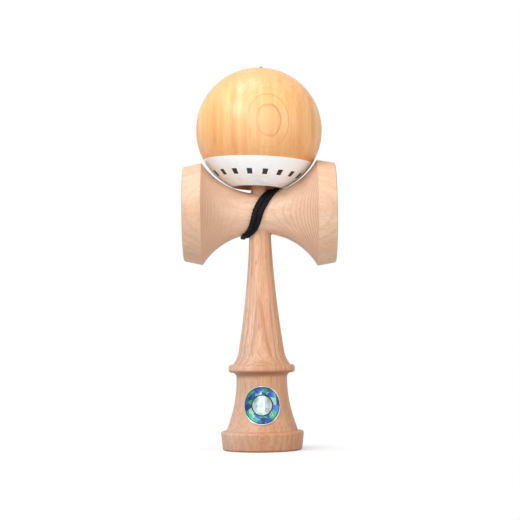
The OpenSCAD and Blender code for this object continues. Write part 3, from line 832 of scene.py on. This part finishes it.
def dippedPaint(paint):
    # white dip paint: smooth and glossy, levelled over the wood, with a printed row of plain marks
    material, tree, skin = startMaterial("white_dip_paint")
    place = addNode(tree, "TexCoord")
    fromMiddle = addNode(tree, "VectorMath", {"operation": "SUBTRACT"}, in0=(place, "Object"),
                         in1=(0.0, 0.0, ball["height"] * mm))
    upright = addNode(tree, "VectorRotate", {"rotation_type": "Y_AXIS"}, Vector=(fromMiddle, "Vector"),
                      Angle=-math.radians(ball["leanDegrees"]))
    level = addNode(tree, "TexNoise", Vector=(upright, "Vector"), Scale=1 / (paint["swell"] * mm), Detail=1.0)
    coat = addNode(tree, "Mix", {"data_type": "RGBA"}, in6=hexColor(paint["white"]),
                   in7=hexColor(paint["shade"]), Factor=(level, "Fac"))
    split = addNode(tree, "SeparateXYZ", Vector=(upright, "Vector"))
    turn = addNode(tree, "Math", {"operation": "ARCTAN2"}, in0=(split, "Y"), in1=(split, "X"))
    count = addNode(tree, "Math", {"operation": "MULTIPLY"}, in0=(turn, "Value"),
                    in1=2 * paint["marks"] / math.tau)
    cell = addNode(tree, "Math", {"operation": "PINGPONG"}, in0=(count, "Value"), in1=1.0)
    bar = addNode(tree, "Math", {"operation": "LESS_THAN"}, in0=(cell, "Value"), in1=paint["markShare"])
    high = addNode(tree, "Math", {"operation": "SUBTRACT"}, in0=(split, "Z"), in1=paint["markAt"] * mm)
    away = addNode(tree, "Math", {"operation": "ABSOLUTE"}, in0=(high, "Value"))
    row = addNode(tree, "Math", {"operation": "LESS_THAN"}, in0=(away, "Value"),
                  in1=paint["markHigh"] / 2 * mm)
    mark = addNode(tree, "Math", {"operation": "MULTIPLY"}, in0=(bar, "Value"), in1=(row, "Value"))
    inked = addNode(tree, "Mix", {"data_type": "RGBA"}, in6=(coat, 2), in7=hexColor(paint["ink"]),
                    Factor=(mark, "Value"))
    rough = addNode(tree, "MapRange", Value=(level, "Fac"), To_Min=paint["shiny"], To_Max=paint["dull"])
    bump = addNode(tree, "Bump", Strength=paint["bump"], Distance=paint["swellDeep"] * mm,
                   Height=(level, "Fac"))
    tree.links.new(inked.outputs[2], skin.inputs["Base Color"])
    tree.links.new(rough.outputs["Result"], skin.inputs["Roughness"])
    tree.links.new(bump.outputs["Normal"], skin.inputs["Normal"])
    skin.inputs["Coat Weight"].default_value = paint["coat"]
    skin.inputs["Coat Roughness"].default_value = paint["coatRoughness"]
    return material


ballPiece = makePiece("tama_ball", intoBall(lathe(ballOutline(ball), 160)),
                      turnedWood("lacquered_beech_ball", ballWood))
bandPiece = makePiece("tama_painted_band", intoBall(lathe(bandOutline(ball), 160)), dippedPaint(bandPaint))
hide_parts("tama")
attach(ballPiece, "ball")
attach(bandPiece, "ball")
print("ball turned and dipped")


# bead inside the ball, in mm

bead = {
    "pale": "#EDE9E0", "shade": "#E3DED3",
    "flow": 3.0, "flowSpan": (0.3, 0.7), "flowDeep": 0.05, "bump": 0.08,
    "shiny": 0.24, "dull": 0.36,
}


def mouldedBead():
    # moulded polystyrene: hard, glossy, faintly mottled by its flow
    material, tree, skin = startMaterial("moulded_polystyrene_bead")
    place = addNode(tree, "TexCoord")
    flow = addNode(tree, "TexNoise", Vector=(place, "Object"), Scale=1 / (bead["flow"] * mm), Detail=2.0)
    low, high = bead["flowSpan"]
    stops = [(low, hexColor(bead["pale"])), (high, hexColor(bead["shade"]))]
    tint = addNode(tree, "ValToRGB", {"stops": stops}, Fac=(flow, "Fac"))
    rough = addNode(tree, "MapRange", Value=(flow, "Fac"), To_Min=bead["shiny"], To_Max=bead["dull"])
    bump = addNode(tree, "Bump", Strength=bead["bump"], Distance=bead["flowDeep"] * mm,
                   Height=(flow, "Fac"))
    tree.links.new(tint.outputs["Color"], skin.inputs["Base Color"])
    tree.links.new(rough.outputs["Result"], skin.inputs["Roughness"])
    tree.links.new(bump.outputs["Normal"], skin.inputs["Normal"])
    return material


dressNode("string_bead", mouldedBead())
print("bead finished")


# label, in mm

label = {
    "radius": 9.0, "height": 21.4, "glue": 0.08, "thick": 0.25, "rings": 24, "sectors": 96,
    "blue": "#2B55A0", "deep": "#1D2F6B", "green": "#2C8F68", "pale": "#78A89B", "silver": "#AEB8B8",
    "film": "#8FA8A3", "line": "#17202B",
    "shards": 4.2,                                            # in the radius, so each is about 2 mm
    "filmTo": 0.52, "filmLine": (0.50, 0.56), "rimLine": (0.90, 0.95),    # as shares of the radius
    "shiny": 0.18, "dull": 0.42, "metal": 0.4, "bump": 0.25, "crinkle": 0.06,
}


def makeLabel():
    # a flat disc is spun in mm, bent to the flare, then given its thickness
    bm = bmesh.new()
    verts = [bm.verts.new((label["radius"] * i / label["rings"], 0, 0)) for i in range(label["rings"] + 1)]
    for a, b in zip(verts, verts[1:]):
        bm.edges.new((a, b))
    bmesh.ops.spin(bm, geom=bm.verts[:] + bm.edges[:], cent=(0, 0, 0), axis=(0, 0, 1), angle=math.tau,
                   steps=label["sectors"], use_merge=True)
    bmesh.ops.remove_doubles(bm, verts=bm.verts, dist=10 * weld)
    bmesh.ops.dissolve_degenerate(bm, edges=bm.edges, dist=weld)
    uv = bm.loops.layers.uv.new("UVMap")
    for face in bm.faces:
        for loop in face.loops:
            loop[uv].uv = (loop.vert.co.x / label["radius"], loop.vert.co.y / label["radius"])
    for vert in bm.verts:
        z = label["height"] + vert.co.y
        radius = flareRadius(z) + label["glue"]
        a = vert.co.x / radius
        vert.co = Vector((radius * math.sin(a), -radius * math.cos(a), z)) * mm
    bmesh.ops.recalc_face_normals(bm, faces=bm.faces)
    if sum(face.normal.y for face in bm.faces) > 0:
        bmesh.ops.reverse_faces(bm, faces=bm.faces)
    bmesh.ops.solidify(bm, geom=bm.faces[:], thickness=-label["thick"] * mm)
    bmesh.ops.recalc_face_normals(bm, faces=bm.faces)
    return bm


def printedFoil():
    # printed reflective foil: bright film cut into shards of ink that each catch the light apart
    material, tree, skin = startMaterial("printed_foil")
    hues = {key: hexColor(label[key]) for key in ("blue", "deep", "green", "pale", "silver", "film", "line")}
    place = addNode(tree, "TexCoord")
    shards = addNode(tree, "TexVoronoi", {"feature": "F1"}, Vector=(place, "UV"), Scale=label["shards"])
    pick = addNode(tree, "SeparateColor", Color=(shards, "Color"))
    reach = addNode(tree, "VectorMath", {"operation": "LENGTH"}, in0=(place, "UV"))
    inkStops = [(0.0, hues["blue"]), (0.35, hues["deep"]), (0.55, hues["green"]), (0.85, hues["pale"])]
    filmStops = [(0.0, hues["silver"]), (0.5, hues["pale"]), (0.75, hues["film"])]
    (filmLow, filmHigh), (rimLow, rimHigh) = label["filmLine"], label["rimLine"]
    lineStops = [(0.0, grey(0.0)), (filmLow, grey(1.0)), (filmHigh, grey(0.0)),
                 (rimLow, grey(1.0)), (rimHigh, grey(0.0))]
    inks = addNode(tree, "ValToRGB", {"stops": inkStops}, Fac=(pick, "Red"))
    film = addNode(tree, "ValToRGB", {"stops": filmStops}, Fac=(pick, "Red"))
    lines = addNode(tree, "ValToRGB", {"stops": lineStops}, Fac=(reach, "Value"))
    for ramp in (inks, film, lines):
        ramp.color_ramp.interpolation = "CONSTANT"
    inside = addNode(tree, "Math", {"operation": "LESS_THAN"}, in0=(reach, "Value"), in1=label["filmTo"])
    edge = addNode(tree, "Math", {"operation": "GREATER_THAN"}, in0=(reach, "Value"), in1=rimHigh)
    discs = addNode(tree, "Mix", {"data_type": "RGBA"}, in6=(inks, "Color"), in7=(film, "Color"),
                    Factor=(inside, "Value"))
    lined = addNode(tree, "Mix", {"data_type": "RGBA"}, in6=(discs, 2), in7=hues["line"],
                    Factor=(lines, "Color"))
    final = addNode(tree, "Mix", {"data_type": "RGBA"}, in6=(lined, 2), in7=hues["silver"],
                    Factor=(edge, "Value"))
    rough = addNode(tree, "MapRange", Value=(pick, "Green"), To_Min=label["shiny"], To_Max=label["dull"])
    bump = addNode(tree, "Bump", Strength=label["bump"], Distance=label["crinkle"] * mm,
                   Height=(shards, "Distance"))
    tree.links.new(final.outputs[2], skin.inputs["Base Color"])
    tree.links.new(rough.outputs["Result"], skin.inputs["Roughness"])
    tree.links.new(bump.outputs["Normal"], skin.inputs["Normal"])
    skin.inputs["Metallic"].default_value = label["metal"]
    return material


labelPiece = makePiece("label_foil_sticker", makeLabel(), printedFoil(), sharp=50)
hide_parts("label")
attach(labelPiece, "handle")
print("label stuck on")


# floor, backdrop and lamps

studio = {
    "white": "#FFFFFF", "ambient": 0.26, "aim": (0, 0, 0.09),
    "lamps": {
        "left": {"spot": (-0.48, -0.52, 0.60), "size": 0.32, "power": 3.3},
        "right": {"spot": (0.70, -0.45, 0.30), "size": 0.55, "power": 2.0},
        "front": {"spot": (-0.05, -0.88, 0.34), "size": 0.45, "power": 2.4},
        "top": {"spot": (-0.22, -0.12, 1.05), "size": 0.6, "power": 5.2},
    },
    "paper": "#CFCFCF", "paperRoughness": 0.9, "paperHalf": 1.5,
    "shadowNear": 19.0, "shadowFar": 48.0, "shadowShare": 0.45,    # mm from the middle of the foot
}


def seenRays(tree):
    # 1 for what the eye sees itself, in a gloss or through glass
    path = addNode(tree, "LightPath")
    mirrored = addNode(tree, "Math", {"operation": "MAXIMUM"}, in0=(path, "Is Glossy Ray"),
                       in1=(path, "Is Transmission Ray"))
    return addNode(tree, "Math", {"operation": "MAXIMUM"}, in0=(path, "Is Camera Ray"),
                   in1=(mirrored, "Value"))


def makeBackdrop():
    world = bpy.data.worlds.new("studio")
    scene.world = world
    world.use_nodes = True
    tree = world.node_tree
    back = tree.nodes["Background"]
    level = addNode(tree, "MapRange", Value=(seenRays(tree), "Value"), To_Min=studio["ambient"], To_Max=1.0)
    back.inputs["Color"].default_value = hexColor(studio["white"])
    tree.links.new(level.outputs["Result"], back.inputs["Strength"])


def makeLamps():
    for name, lamp in studio["lamps"].items():
        data = bpy.data.lights.new(name, "AREA")
        data.shape = "DISK"
        data.size = lamp["size"]
        data.energy = lamp["power"]
        light = bpy.data.objects.new(name, data)
        light.matrix_world = aimed(lamp["spot"], studio["aim"])
        scene.collection.objects.link(light)


def paperFloor():
    # white paper, lit from behind as the eye sees it;
    # the glow gives way round the foot, so that the shadow shows
    material, tree, skin = startMaterial("paper_floor")
    shows = seenRays(tree)
    place = addNode(tree, "TexCoord")
    away = addNode(tree, "VectorMath", {"operation": "LENGTH"}, in0=(place, "Object"))
    clear = addNode(tree, "MapRange", {"interpolation_type": "SMOOTHSTEP"}, Value=(away, "Value"),
                    From_Min=studio["shadowNear"] * mm, From_Max=studio["shadowFar"] * mm,
                    To_Min=1 - studio["shadowShare"], To_Max=1.0)
    share = addNode(tree, "Math", {"operation": "MULTIPLY"}, in0=(shows, "Value"), in1=(clear, "Result"))
    paper = addNode(tree, "Mix", {"data_type": "RGBA"}, in6=hexColor(studio["paper"]),
                    in7=hexColor(studio["white"]), Factor=(shows, "Value"))
    glow = addNode(tree, "Emission", Color=hexColor(studio["white"]), Strength=1.0)
    mix = addNode(tree, "MixShader", Fac=(share, "Value"), in1=(skin, "BSDF"), in2=(glow, "Emission"))
    tree.links.new(paper.outputs[2], skin.inputs["Base Color"])
    tree.links.new(mix.outputs["Shader"], tree.nodes["Material Output"].inputs["Surface"])
    skin.inputs["Roughness"].default_value = studio["paperRoughness"]
    return material


def makeFloor():
    bm = bmesh.new()
    bmesh.ops.create_grid(bm, x_segments=1, y_segments=1, size=studio["paperHalf"])
    mesh = bpy.data.meshes.new("floor")
    bm.to_mesh(mesh)
    bm.free()
    mesh.materials.append(paperFloor())
    floor = bpy.data.objects.new("floor", mesh)
    scene.collection.objects.link(floor)


makeBackdrop()
makeLamps()
makeFloor()
print("lamps on")
